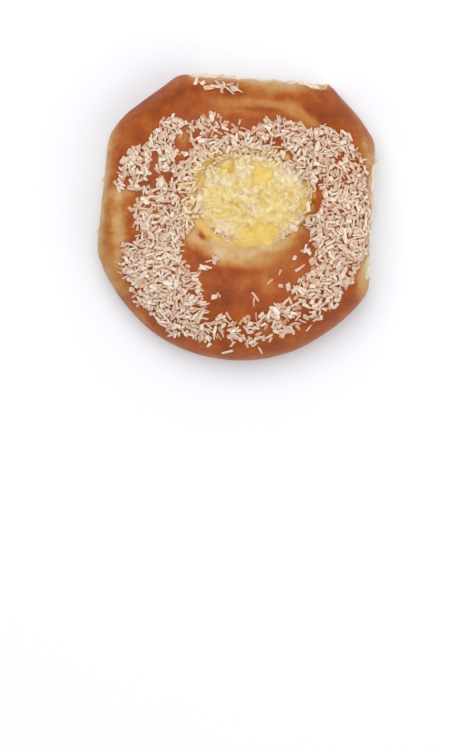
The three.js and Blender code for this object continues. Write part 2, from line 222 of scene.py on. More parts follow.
# Where the custard lies bare, and where the coconut in it stands out pale.
BARE_CUSTARD = [
    spot(11, 14.5, 5, 5.5, -10), spot(11, -10.5, 9, 3.6, 8), spot(-3, 18.5, 1.6, 5.5, -16),
    spot(19, 7.5, 5, 1.5), spot(-15.3, 11.5, 1.8, 6.5, -5), spot(-1, 2, 4, 1.8, -15),
    spot(-7, -3, 4, 2, 20), spot(28.5, 3, 1.8, 5), spot(6, -14.4, 11, 1.9),
]
PALE_CUSTARD = [
    spot(1.5, 17, 3.5, 6, -12), spot(3, 6.5, 4.5, 2.8, 10), spot(22, 14, 4.5, 5, 20),
    spot(-8.5, -8.5, 7.5, 5, -12), spot(-8, 11.5, 5.5, 3, 12), spot(7, 0, 3, 4, 20),
    spot(19, -11.5, 4.5, 1.8, 14), spot(-17, 3, 3, 8, 0),
]
# How the coconut lies: how many shreds, the share of chips, how often one lies on another, how
# freely it tips, its size beside the sizes below and how deep it sinks in.
ON_CRUST = {"count": 2290, "chips": 0.55, "overlap": 0.42, "tipping": 1.0, "scale": 1.0, "sunk": 0.1}
ON_CUSTARD = {"count": 430, "chips": 0.7, "overlap": 0.35, "tipping": 0.3, "scale": 1.2, "sunk": 0.25}
STRAYING = {"chips": 0.55, "tipping": 0.5, "scale": 1.15, "sunk": 0.1}
# Chips are broad and short, slivers long and thin. Bend and curl are for the
# bent length.
LENGTH_SKEW = (1.7, 2.4)
WIDTH_SKEW = (1.7, 2.2)
BROADEST = 0.85
BENT_LENGTH = 5
CHIP = {
    "length": (1.8, 4.4),
    "width": (1.0, 2.4),
    "thickness": (0.3, 0.6),
    "taper": (0.6, 1.0),
    "bend": 0.15,
    "curl": 0.1,
    "stations": (0, 0.15, 0.85, 1),
}
SLIVER = {
    "length": (2.4, 5.8),
    "width": (0.65, 1.5),
    "thickness": (0.3, 0.55),
    "taper": (0.45, 0.95),
    "bend": 0.4,
    "curl": 0.15,
    "stations": (0, 0.12, 0.5, 0.88, 1),
}
# Neighbours lie more or less the same way round: by how many half turns, and how far each strays.
COMBING = (1.3, 2, 8, 6.1)
COMBING_SPREAD = 0.24
# A shred rests on the highest places under it, and rolls with them and sags towards them a little.
ALONG_PLACES = 9
ACROSS_PLACES = (-0.4, 0.0, 0.4)
ROLL = 7 * DEGREE
ROLL_FOLLOWS = 0.8
ROLL_MOST = 1.5
STEEPEST = 38 * DEGREE
SAG = 0.7
SAG_MOST = 1.0
# Shreds pile up over the crust to the limit and never above the top. Fewer are laid on others.
PILE_LIMIT = 1.1
PILE_TOP = 36.1
PILE_OF_ONE = 0.2
TRIES_EACH = 60
STRAY_INSET = 3.2
STRAY_NARROWING = (2.2, 3)
DRAWN_REACH = (16, 63)
# A shred's section: eight corners, each with how much it shows as a thin edge, which is tinted darker and
# more orange as painted shade and painted light through the edge.
SECTION_INNER = 0.76
SECTION_LOW = 0.45
SECTION_EDGE_SHADE = [1, 0.15, 0.15, 1, 1, 0.15, 0.15, 1]
CORNERS = len(SECTION_EDGE_SHADE)
UNEVEN_WIDTH = (0.86, 1.12)
UNEVEN_THICKNESS = (0.85, 1.1)
END_WIDTH = (0.55, 0.85)
END_THICKNESS = 0.5
END_SLANT = 0.5
TORN_CRUMBS = 500
CRUMB_SIZE = (0.12, 0.5)
CRUMB_STRETCH = (0.7, 1.3)
SEEDS = {"laying": 7, "coconut_on_crust": 21, "coconut_on_custard": 22, "torn_crumbs": 31}

# How finely the meshes are divided.
ROUND_STEPS = 640
BASE_RINGS = 18
TUCK_RINGS = 15
SIDE_RINGS = 71
LIP_RINGS = 26
WELL_RINGS = (14, 5, 4)
LIP_SOFTENED = {"before": 9, "after": 7, "times": 14}
CUSTARD_ROUND_STEPS = 320
CUSTARD_TOP_STEPS = 76
FIELD_SPACING = 0.3
FIELD_HALF = 72
FIELD_ABOVE = 60
GLAZE_AND_SHADE_BLUR = 8
CUSTARD_BLUR = 2

# The photograph's frame: what it shows of the floor, and the place under its centre.
IMAGE_HEIGHT = 752
PIXEL = 0.44
FRAME_CENTRE = (-1.1, -73.0)
CAMERA_DISTANCE = 2000

# The studio, in metres: each light's name, place, power and colour, and the floor.
LIGHTS = [
    ("key", (-0.22, 0.5, 1.6), 14, (1.0, 0.985, 0.96)),
    ("fill", (0.9, -0.6, 1.3), 6, (0.97, 0.985, 1.0)),
]
LIGHT_SIZE = 1.4
SKY_COLOUR = (0.96, 0.975, 1.0, 1.0)
SKY_STRENGTH = 0.7
FLOOR_HALF = 3.0
FLOOR_COLOUR = (0.84, 0.86, 0.905, 1.0)


def srgb(red, green, blue):
    """A colour given as a screen shows it, from 0 to 255, as the linear values nodes use."""
    shown = np.array([red, green, blue]) / 255
    linear = np.where(shown <= 0.04045, shown / 12.92, ((shown + 0.055) / 1.055) ** 2.4)
    return (*linear.tolist(), 1.0)


def smooth_step(value, low, high):
    share = np.clip((value - low) / (high - low), 0, 1)
    return share * share * (3 - 2 * share)


def mix(low, high, share):
    return low + (high - low) * share


def corner_value(i, j, k):
    wave = np.sin(i * 127.1 + j * 311.7 + k * 74.7) * 43758.5453
    return 2 * (wave - np.floor(wave)) - 1


def noise(points, spacing, shift=0.0):
    """Smooth noise from -1 to 1: random values at the corners of a grid, blended between them."""
    scaled = points / spacing + shift
    cell = np.floor(scaled)
    share = scaled - cell
    share = share * share * (3 - 2 * share)
    i, j, k = cell[..., 0], cell[..., 1], cell[..., 2]
    u, v, w = share[..., 0], share[..., 1], share[..., 2]

    def along(jj, kk):
        return mix(corner_value(i, jj, kk), corner_value(i + 1, jj, kk), u)

    near = mix(along(j, k), along(j + 1, k), v)
    far = mix(along(j, k + 1), along(j + 1, k + 1), v)
    return mix(near, far, w)


def layered(points, layers):
    return sum(amount * noise(points, spacing, shift) for amount, spacing, shift in layers)


def noise_at(x, y, layer):
    amount, level, spacing, shift = layer
    return amount * float(noise(np.array([x, y, level]), spacing, shift))


def turned(x, y, angle):
    """A place as seen from axes turned by an angle."""
    cos, sin = math.cos(angle), math.sin(angle)
    return x * cos + y * sin, y * cos - x * sin


def turn_between(a, b):
    return np.arctan2(np.sin(a - b), np.cos(a - b))


def soft_min(a, b, blend):
    """The smaller of two lengths, rounded off where they meet."""
    share = np.clip(0.5 + 0.5 * (b - a) / blend, 0, 1)
    return mix(b, a, share) - blend * share * (1 - share)


def round_radius(angle):
    """From the dough's middle to its edge, without the flat sides."""
    off = turn_between(angle, CORNER_FLAP["facing"]) / CORNER_FLAP["spread"]
    return BUN_RADIUS + RIGHT_BULGE * np.cos(angle) + CORNER_FLAP["reach"] * np.exp(-off * off)


def outline(angle):
    """From the dough's middle to its edge."""
    reach = round_radius(angle)
    for side in FLAT_SIDES:
        facing = np.cos(angle - side["facing"])
        cut = side["distance"] / np.maximum(facing, 0.001)
        reach = np.where(facing > 0, soft_min(reach, cut, CORNER_BLEND), reach)
    return reach


def torn_share(angle):
    """1 where a neighbour was torn away and left the edge flat, and 0 where the edge is free."""
    return smooth_step(round_radius(angle) - outline(angle), *TORN_DEPTH)


def on_ellipse(ellipse, angle):
    return np.stack(
        [
            ellipse["x"] + ellipse["reach_x"] * np.cos(angle),
            ellipse["y"] + ellipse["reach_y"] * np.sin(angle),
            np.full_like(angle, ellipse["height"]),
        ],
        axis=-1,
    )


def on_outline(angle, inset, height):
    reach = outline(angle) - inset
    return np.stack([reach * np.cos(angle), reach * np.sin(angle), height + 0 * reach], axis=-1)


def ellipse_share(ellipse, points):
    """A point's place between the middle of an ellipse, 0, and its rim, 1."""
    across = (points[..., 0] - ellipse["x"]) / ellipse["reach_x"]
    up = (points[..., 1] - ellipse["y"]) / ellipse["reach_y"]
    return np.hypot(across, up)


def crown(angle, along):
    """A ring of the crown: along is 0 at the lip, CREST_AT on the crest and 1 at the edge."""
    lip = on_ellipse(LIP, angle)
    edge = on_outline(angle, 0, WIDEST_HEIGHT)
    if along < CREST_AT:
        share = CREST_SHARE * along / CREST_AT
        height = mix(LIP_HEIGHT, CREST_HEIGHT, math.sin(along / CREST_AT * math.pi / 2))
    else:
        turn = (along - CREST_AT) / (1 - CREST_AT) * math.pi / 2
        power = 2 / mix(FREE_ROUNDNESS, TORN_ROUNDNESS, torn_share(angle))
        share = mix(CREST_SHARE, 1, math.sin(turn) ** power)
        height = mix(WIDEST_HEIGHT, CREST_HEIGHT, max(math.cos(turn), 0) ** power)
    ring = lip + (edge - lip) * np.expand_dims(share + 0 * angle, 1)
    ring[:, 2] = height
    return ring


def smooth_dough(angle):
    """The dough's rings without relief, from the middle of its base up, over and into the well."""
    rings = []
    tuck = mix(FREE_TUCK, TORN_TUCK, torn_share(angle))
    for share in np.linspace(0.1, 1, BASE_RINGS):
        rings.append(on_outline(angle, 0, 0) * share - on_outline(angle, outline(angle) - tuck, 0) * share)
    for turn in np.linspace(90, 0, TUCK_RINGS)[1:-1] * DEGREE:
        rings.append(on_outline(angle, tuck * (1 - math.cos(turn)), WIDEST_HEIGHT * (1 - math.sin(turn))))
    for share in np.linspace(0, 1, SIDE_RINGS)[:-1]:
        eased = 0.5 + 0.5 * math.cos(math.pi * share)
        rings.append(crown(angle, mix(CREST_AT, 1, eased)))
    for along in np.linspace(CREST_AT, 0, LIP_RINGS):
        rings.append(crown(angle, along))
    lip_ring = len(rings) - 1
    levels = (LIP, POOL, WELL_FOLD, WELL_FLOOR)
    for start, end, steps in zip(levels, levels[1:], WELL_RINGS):
        for share in np.linspace(0, 1, steps + 1)[1:]:
            rings.append(mix(on_ellipse(start, angle), on_ellipse(end, angle), share))
    grid = np.stack(rings, axis=1)
    soften(grid, lip_ring - LIP_SOFTENED["before"], lip_ring + LIP_SOFTENED["after"])
    return grid


def soften(grid, first, last):
    """Rounds off a stretch of rings."""
    for _ in range(LIP_SOFTENED["times"]):
        middle = grid[:, first:last]
        grid[:, first:last] = (grid[:, first - 1 : last - 1] + 2 * middle + grid[:, first + 1 : last + 1]) / 4


def grid_normals(grid):
    round_way = np.roll(grid, -1, axis=0) - np.roll(grid, 1, axis=0)
    section_way = np.gradient(grid, axis=1)
    normals = np.cross(round_way, section_way)
    return normals / np.maximum(np.linalg.norm(normals, axis=2, keepdims=True), 1e-9)


def polar(points):
    """Each point's angle and reach round the dough's middle."""
    return np.arctan2(points[..., 1], points[..., 0]), np.hypot(points[..., 0], points[..., 1])


def widened(ring, points):
    """A ring's reach at a point's angle: it is widest where the ring faces."""
    return ring["reach"] + ring["wider"] * np.cos(polar(points)[0] - ring["facing"])


def crease_share(points, widening=1.0):
    """How far into a crease a point lies, as its depth."""
    angle, reach = polar(points)
    edge = np.minimum(outline(angle), CREASE_LIMIT)
    depth = np.zeros_like(reach)
    for crease in CREASES:
        off = (reach - crease["share"] * edge) / (crease["width"] * widening)
        along = np.abs(turn_between(angle, crease["facing"])) / crease["spread"]
        depth += crease["depth"] * np.exp(-off * off) * (1 - smooth_step(along, 0.6, 1))
    return depth


def torn_mask(points):
    """1 on the torn faces, inside their ragged edge, and 0 elsewhere."""
    ragged = 3.2 * noise(points * (1, 1, 0.4), 6.5, 3.7) + layered(points, TORN_RAGGED)
    sideways = ragged + 2.5 * noise(points, 5.5, 9.2)
    mask = np.zeros(points.shape[:-1])
    for face in TORN_FACES:
        out, along = turned(points[..., 0], points[..., 1], face["facing"])
        inside = face["reach"] - np.abs(along - face["middle"]) + sideways
        below = face["top"] - points[..., 2] + ragged
        above = points[..., 2] - TORN_BOTTOM + 0.35 * ragged
        share = smooth_step(np.minimum(np.minimum(inside, below), above), 0, TORN_FADE)
        inset = face["distance"] - out
        mask = np.maximum(mask, share * (1 - smooth_step(inset, TORN_INSET - TORN_INSET_FADE, TORN_INSET)))
    return mask


def off_middle(x, y, patch):
    """How far out in a turned ellipse a place lies: 0 in its middle, and 1 at its rim."""
    across, up = turned(x - patch["x"], y - patch["y"], patch["turn"])
    return np.hypot(across / patch["reach_x"], up / patch["reach_y"])


def patch_share(points, patch):
    """1 in the middle of a patch, fading out unevenly at its edge."""
    off = off_middle(points[..., 0], points[..., 1], patch)
    ragged = off + 0.25 * noise(points * (1, 1, 0), 0.35 * patch["reach_x"], 2.7)
    return 1 - smooth_step(ragged, 0.35, 1.25)


def torn_crumb(points):
    """The torn crumb's own relief: feathery, drawn out upwards, with pores of several sizes."""
    drawn = points * (1, 1, 0.55)
    pores = smooth_step(noise(drawn, 1.9, 8.8), 0.25, 0.7)
    holes = smooth_step(noise(points, 3.4, 4.1), 0.3, 0.7)
    feathers = FEATHER_HEIGHT * layered(drawn, FEATHERS)
    return feathers - PORE_DEPTH * pores - HOLE_DEPTH * holes - CRUMB_SUNK


def dough_relief(points):
    """How far the real surface stands proud of the smooth one."""
    torn = torn_mask(points)
    on_crown = smooth_step(points[..., 2], *CROWN_FROM)
    proud = LUMP["height"] * noise(points, LUMP["spacing"]) - crease_share(points)
    proud += torn * (TEAR["height"] * noise(points, TEAR["spacing"]) + torn_crumb(points))
    proud += layered(points, SKIN) * (1 - torn)
    proud += 0.35 * patch_share(points, BLISTER) * on_crown
    angle = np.arctan2(points[..., 1] - POOL["y"], points[..., 0] - POOL["x"])
    folds = 1 - np.abs(noise(np.stack([30 * angle, 0.5 * points[..., 2], 0 * angle], axis=-1), 0.9, 3.3))
    wrinkled = sum(patch_share(points, patch) for patch in WRINKLES)
    proud += 0.4 * folds**2 * wrinkled * on_crown
    return proud * smooth_step(points[..., 2], 0.2, 3)


def fine_dough():
    angle = np.arange(ROUND_STEPS) / ROUND_STEPS * 2 * math.pi
    grid = smooth_dough(angle)
    normals = grid_normals(grid)
    grid = grid + normals * dough_relief(grid)[..., None]
    grid[..., 2] = np.maximum(grid[..., 2], 0)
    return grid


def fold_share(points):
    """1 along the custard's folds, and 0 away from them, with each fold's depth."""
    share = np.zeros(points.shape[:-1])
    depth = np.zeros(points.shape[:-1])
    for fold_start, fold_end, width, fold_depth in CUSTARD_FOLDS:
        start = np.array(fold_start)
        run = np.array(fold_end) - start
        off = points[..., :2] - start
        along = np.clip(off @ run / (run @ run), 0, 1)
        away = np.linalg.norm(off - along[..., None] * run, axis=-1)
        away = away + 0.8 * noise(points * (1, 1, 0), 3, 1.2)
        here = np.exp(-((away / width) ** 2)) * smooth_step(along * (1 - along), 0, 0.1)
        share = np.maximum(share, here)
        depth += fold_depth * here
    return share, depth


def fine_custard(angle):
    """The custard's rings, from the middle of its underside to the middle of its top."""
    rings = [on_ellipse(WELL_FLOOR, angle), on_ellipse(WELL_FOLD, angle)]
    middle = np.array([POOL["x"], POOL["y"], 0])
    upper = smooth_step(np.sin(angle), -0.3, 0.6)
    around = np.stack([np.cos(angle), np.sin(angle), 0 * angle], axis=1)
    spread = mix(*CUSTARD_SPREAD, upper) + layered(around * 20, CUSTARD_RAGGED)
    edge = mix(on_ellipse(POOL, angle), on_ellipse(LIP, angle), spread[:, None])
    climb = edge[:, 2] - CUSTARD_EDGE_SUNK - POOL["height"]
    for share in np.linspace(1, 0.02, CUSTARD_TOP_STEPS):
        ring = mix(middle, edge, share)
        ring[:, 2] = POOL["height"] + CUSTARD_DOME * (1 - share**2.5) + climb * share**12
        lump = noise(ring * (1, 1, 0) + (0, 0, 3.5), CUSTARD_LUMP["spacing"])
        ring[:, 2] += CUSTARD_LUMP["height"] * lump * (1 - share**4)
        ripples = 1 - np.abs(noise(ring * (1, 1, 0), 5.1, 1.4))
        ring[:, 2] += 0.35 * ripples**3 + 0.16 * noise(ring * (1, 1, 0), 1.7, 7.7) - 0.12
        ring[:, 2] -= fold_share(ring)[1]
        rings.append(ring)
    return np.stack(rings, axis=1)


def new_object(name, data):
    made = bpy.data.objects.new(name, data)
    bpy.context.scene.collection.objects.link(made)
    return made


def piece_from(name, vertices, faces):
    """A mesh object from millimetres round the dough's middle, riding on the only body."""
    placed = (np.asarray(vertices) + (*BUN_MIDDLE, 0)) * METRES
    mesh = bpy.data.meshes.new(name)
    mesh.from_pydata(placed.tolist(), [], faces)
    mesh.shade_smooth()
    piece = new_object(name, mesh)
    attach(piece, "root")
    return piece


def grid_faces(grid):
    """Quads between rings of points, and a fan of triangles to the point that closes each end."""
    round_steps, rings = grid.shape[:2]
    step = np.arange(round_steps)
    after = (step + 1) % round_steps
    faces = []
    for ring in range(rings - 1):
        corners = [step * rings + ring, after * rings + ring]
        corners += [after * rings + ring + 1, step * rings + ring + 1]
        faces += np.stack(corners, axis=1).tolist()
    first = np.full(round_steps, round_steps * rings)
    faces += np.stack([first, after * rings, step * rings], axis=1).tolist()
    top = rings - 1
    faces += np.stack([step * rings + top, after * rings + top, first + 1], axis=1).tolist()
    return faces


def grid_vertices(grid):
    ends = [grid[:, 0].mean(axis=0), grid[:, -1].mean(axis=0)]
    return np.concatenate([grid.reshape(-1, 3), ends])


def set_attributes(piece, attributes):
    for name, values in attributes.items():
        attribute = piece.data.attributes.new(name, "FLOAT", "POINT")
        attribute.data.foreach_set("value", np.asarray(values, dtype=np.float32).ravel())


def surface_tree(parts):
    """A search tree over several grids of points, in millimetres."""
    vertices = []
    faces = []
    for grid in parts:
        offset = len(vertices)
        vertices += grid_vertices(grid).tolist()
        faces += [[corner + offset for corner in face] for face in grid_faces(grid)]
    return BVHTree.FromPolygons(vertices, faces)


class HeightField:
    """How high the uppermost surface is over each place, on a square grid, in millimetres."""

    def __init__(self, tree):
        self.count = int(2 * FIELD_HALF / FIELD_SPACING) + 1
        self.places = FIELD_SPACING * np.arange(self.count) - FIELD_HALF
        self.heights = np.zeros((self.count, self.count))
        for row, y in enumerate(self.places):
            for column, x in enumerate(self.places):
                hit = tree.ray_cast((x, y, FIELD_ABOVE), (0, 0, -1))[0]
                if hit is not None:
                    self.heights[row, column] = hit.z
        self.bare = self.heights.copy()

    def cells(self, x, y):
        steps = [np.rint((value + FIELD_HALF) / FIELD_SPACING) for value in (y, x)]
        return tuple(np.clip(step, 0, self.count - 1).astype(int) for step in steps)

    def at(self, x, y):
        return self.heights[self.cells(x, y)]

    def bare_at(self, x, y):
        return self.bare[self.cells(x, y)]

    def lay(self, x, y, heading, length, width, top):
        """Raises the field to the top of a strip laid on it: top gives a height along and across."""
        reach = length / 2 + width / 2
        rows, columns = self.cells(np.array([x - reach, x + reach]), np.array([y - reach, y + reach]))
        block = (slice(rows[0], rows[1] + 1), slice(columns[0], columns[1] + 1))
        off_x, off_y = np.meshgrid(self.places[block[1]] - x, self.places[block[0]] - y)
        along, across = turned(off_x, off_y, heading)
        inside = (np.abs(along) <= length / 2) & (np.abs(across) <= width / 2)
        raised = np.maximum(self.heights[block], top(along, across))
        self.heights[block] = np.where(inside, raised, self.heights[block])

    def thickness(self, points, blur):
        """How thick what was laid on the field is at points, blurred over a number of cells."""
        thick = self.heights - self.bare
        for _ in range(blur):
            for axis in (0, 1):
                thick = (np.roll(thick, 1, axis) + 2 * thick + np.roll(thick, -1, axis)) / 4
        return thick[self.cells(points[..., 0], points[..., 1])]


def band_row(degrees):
    """Where the band of coconut begins and ends at an angle, and how much of it is covered."""
    angles, *columns = zip(*COCONUT_BAND)
    return [float(np.interp(degrees, angles, column)) for column in columns]


def near_spots(x, y, spots):
    """1 inside any of the spots, and 0 away from them."""
    return max(1 - float(smooth_step(off_middle(x, y, place), *SPOT_EDGE)) for place in spots)


def crust_cover(x, y):
    """How much of the crust is covered by coconut at a place, from 0 to 1."""
    degrees = math.degrees(math.atan2(y, x)) % 360
    reach = math.hypot(x, y)
    ragged = noise_at(x, y, BAND_RAGGED)
    inner, outer, cover = band_row(degrees)
    inside = smooth_step(reach, inner + ragged - BAND_FADE, inner + ragged + BAND_FADE)
    inside *= 1 - smooth_step(reach, outer + ragged - BAND_FADE, outer + ragged + BAND_FADE)
    patch = 0.45 + noise_at(x, y, CRUST_PATCHY)
    patchy = mix(1, np.clip(patch + cover - 0.5, 0, 1), 0.8)
    return float(cover * inside * patchy * (1 - near_spots(x, y, BARE_SPOTS)))


def custard_cover(x, y):
    patch = 0.55 + noise_at(x, y, CUSTARD_PATCHY) + near_spots(x, y, PALE_CUSTARD)
    return float(np.clip(patch, 0.15, 1) * (1 - near_spots(x, y, BARE_CUSTARD)))


def draw_size(rng, lying):
    """A shred's kind and its own sizes."""
    kind = CHIP if rng.random() < lying["chips"] else SLIVER
    length = mix(*kind["length"], rng.beta(*LENGTH_SKEW)) * lying["scale"]
    width = min(mix(*kind["width"], rng.beta(*WIDTH_SKEW)) * lying["scale"], BROADEST * length)
    thickness = mix(*kind["thickness"], rng.random())
    return kind, length, width, thickness


def rest_line(along, ridge):
    """The straight line that rests on two high points to either side of the middle."""
    best = -1e9
    slope = 0.0
    middle = ALONG_PLACES // 2
    for i in range(middle + 1):
        for j in range(max(i + 1, middle), ALONG_PLACES):
            tilt = (ridge[j] - ridge[i]) / (along[j] - along[i])
            height = ridge[i] - tilt * along[i]
            if height > best:
                best = height
                slope = tilt
    return best, slope


def lay_shred(field, x, y, rng, lying, shreds):
    """Lays one shred where it comes to rest, if it fits, and adds its size and lie to the shreds."""
    kind, length, width, thickness = draw_size(rng, lying)
    heading = math.pi * (noise_at(x, y, COMBING) + rng.normal(0, COMBING_SPREAD))
    along = np.linspace(-length / 2, length / 2, ALONG_PLACES)
    across = np.array(ACROSS_PLACES) * width
    step_x, step_y = turned(along[:, None], across, -heading)
    below = field.at(x + step_x, y + step_y)
    ground = field.bare_at(x + step_x[:, 1], y + step_y[:, 1])
    ridge = below.max(axis=1)
    best, slope = rest_line(along, ridge)
    ground_slope = (ground[-1] - ground[0]) / length
    steepest = math.tan(STEEPEST) * lying["tipping"]
    slope = float(np.clip(slope, ground_slope - steepest, ground_slope + steepest))
    best = float(np.max(ridge - slope * along))
    roll = (below[:, 2] - below[:, 0]).mean() / (across[2] - across[0])
    roll = float(np.clip(ROLL_FOLLOWS * roll, -ROLL_MOST, ROLL_MOST))
    roll += lying["tipping"] * math.tan(rng.normal(0, ROLL))
    sag = SAG * np.minimum(np.maximum(best + slope * along - ridge, 0), SAG_MOST)
    middle = best - lying["sunk"]
    top = middle + 0.5 * (abs(slope) * length + abs(roll) * width) + thickness
    if top > PILE_TOP:
        return

    def surface(s, t):
        return middle + slope * s + roll * t + thickness - np.interp(s, along, sag)

    field.lay(x, y, heading, length, width, surface)
    shred = {
        "kind": kind,
        "place": (x, y, middle + thickness / 2),
        "heading": heading,
        "length": length,
        "width": width,
        "thickness": thickness,
        "slope": slope,
        "roll": roll,
        "sag": np.interp((np.array(kind["stations"]) - 0.5) * length, along, sag),
        "lift": float(middle - field.bare_at(x, y)),
    }
    shreds.append(shred)


def lay_coconut(field, draw_place, cover, rng, lying):
    """Lays shreds where the cover asks for them, fewer where some lie already."""
    shreds = []
    for _ in range(lying["count"] * TRIES_EACH):
        if len(shreds) == lying["count"]:
            break
        x, y = draw_place(rng)
        if rng.random() > cover(x, y):
            continue
        pile = float(field.at(x, y) - field.bare_at(x, y))
        if pile > PILE_LIMIT or (pile > PILE_OF_ONE and rng.random() > lying["overlap"]):
            continue
        lay_shred(field, x, y, rng, lying, shreds)
    return shreds


def lay_strays(field, rng, shreds):
    for middle_x, middle_y, reach, count in STRAY_SPOTS:
        for _ in range(count):
            x = middle_x + rng.normal(0, reach / STRAY_NARROWING[0])
            y = middle_y + rng.normal(0, reach / STRAY_NARROWING[1])
            if math.hypot(x, y) <= outline(math.atan2(y, x)) - STRAY_INSET:
                lay_shred(field, x, y, rng, STRAYING, shreds)


def shred_section(half_width, half_thickness):
    """The eight corners of a strip's section: flat above and below and thinner at its two edges."""
    inner = SECTION_INNER * half_width
    low = SECTION_LOW * half_thickness
    upper = [(half_width, low), (inner, half_thickness), (-inner, half_thickness), (-half_width, low)]
    return upper + [(side, -up) for side, up in reversed(upper)]


def shred_vertices(shred, rng):
    """A shred's stations, each a ring of eight points: uneven, narrower at one end, and bent."""
    kind = shred["kind"]
    heading = shred["heading"]
    u = np.array([math.cos(heading), math.sin(heading), shred["slope"]])
    v = np.array([-math.sin(heading), math.cos(heading), shred["roll"]])
    u /= np.linalg.norm(u)
    v -= u * np.dot(u, v)
    v /= np.linalg.norm(v)
    n = np.cross(u, v)
    taper = mix(*kind["taper"], rng.random())
    bend = rng.uniform(-kind["bend"], kind["bend"]) * shred["length"] / BENT_LENGTH
    curl = abs(rng.normal(0, kind["curl"])) * shred["length"] / BENT_LENGTH
    points = []
    for share, sag in zip(kind["stations"], shred["sag"]):
        end = 2 * share - 1
        narrow = mix(1, taper, share) * rng.uniform(*UNEVEN_WIDTH)
        thin = rng.uniform(*UNEVEN_THICKNESS)
        slant = 0
        if share in (0, 1):
            narrow *= rng.uniform(*END_WIDTH)
            thin *= END_THICKNESS
            slant = rng.uniform(-END_SLANT, END_SLANT)
        centre = np.array(shred["place"]) + u * end * shred["length"] / 2
        centre += v * bend * end * end + n * curl * (end * end - 0.3)
        centre[2] -= sag
        for side, up in shred_section(narrow * shred["width"] / 2, thin * shred["thickness"] / 2):
            points.append(centre + v * side + n * up + u * slant * side)
    return points


def coconut_piece(name, shreds):
    """The shreds as one mesh, each with a shade of colour, a dryness and a soaking of its own. The dryness
    also paints shade and crust-bounced light on the lower shreds, and thin edges get painted shade and light.
    """
    rng = np.random.default_rng(SEEDS[name])
    vertices = []
    faces = []
    values = {"shade": [], "dryness_and_height_shade": [], "soaked": [], "edge": []}
    for shred in shreds:
        first = len(vertices)
        vertices += shred_vertices(shred, rng)
        stations = len(shred["kind"]["stations"])
        last = first + CORNERS * (stations - 1)
        for ring in range(first, last, CORNERS):
            for corner in range(CORNERS):
                after = (corner + 1) % CORNERS
                quad = (corner, after, CORNERS + after, CORNERS + corner)
                faces.append(tuple(ring + place for place in quad))
        faces.append(tuple(reversed(range(first, first + CORNERS))))
        faces.append(tuple(range(last, last + CORNERS)))
        place = np.array(shred["place"])
        dry = ellipse_share(POOL, place) - widened(SOAKED, place) + 0.1 * rng.normal()
        soaked = float(1 - 0.4 * smooth_step(dry, -0.3, -0.1) - 0.6 * smooth_step(dry, -0.1, 0.25))
        pale = near_spots(place[0], place[1], PALE_CUSTARD) * rng.uniform(0.2, 1)
        own = {
            "shade": rng.random(),
            # Higher shreds are paler: partly drier, partly painted shade and orange light bounced from the
            # crust on the lower ones.
            "dryness_and_height_shade": float(np.clip(shred["lift"] / 0.9, 0, 1)),
            "soaked": soaked * (1 - 0.85 * pale),
        }
        for key, value in own.items():
            values[key] += [value] * (CORNERS * stations)
        # Thin edges get darker, more orange tones: painted shade along each shred's outline and painted light
        # through the thin edge, less where soaked.
        edge = np.array([1] * CORNERS + SECTION_EDGE_SHADE * (stations - 2) + [1] * CORNERS)
        values["edge"] += (edge * (1 - 0.6 * own["soaked"])).tolist()
    piece = piece_from(name, vertices, faces)
    piece.data.set_sharp_from_angle(angle=60 * DEGREE)
    set_attributes(piece, values)
    return piece


def crumb_piece(name, grid):
    """Loose crumbs that cling to the torn faces, as uneven little lumps."""
    rng = np.random.default_rng(SEEDS[name])
    shape = bmesh.new()
    bmesh.ops.create_icosphere(shape, subdivisions=2, radius=1)
    ball = np.array([vertex.co for vertex in shape.verts])
    ball_faces = [tuple(vertex.index for vertex in face.verts) for face in shape.faces]
    shape.free()
    vertices = []
    faces = []
    points = grid.reshape(-1, 3)
    torn = np.flatnonzero((torn_mask(points) > 0.6) & (noise(points, 4.4, 6.2) > -0.2) & (points[:, 2] > 2))
    for index in rng.choice(torn, TORN_CRUMBS, replace=False):
        stretch = mix(*CRUMB_SIZE, rng.random() ** 2) * rng.uniform(*CRUMB_STRETCH, 3)
        lumpy = ball * (1 + 0.35 * noise(ball * 1.3 + rng.random(3) * 50, 1.0)[:, None])
        offset = len(vertices)
        vertices += (lumpy * stretch + points[index]).tolist()
        faces += [tuple(corner + offset for corner in corners) for corners in ball_faces]
    return piece_from(name, vertices, faces)


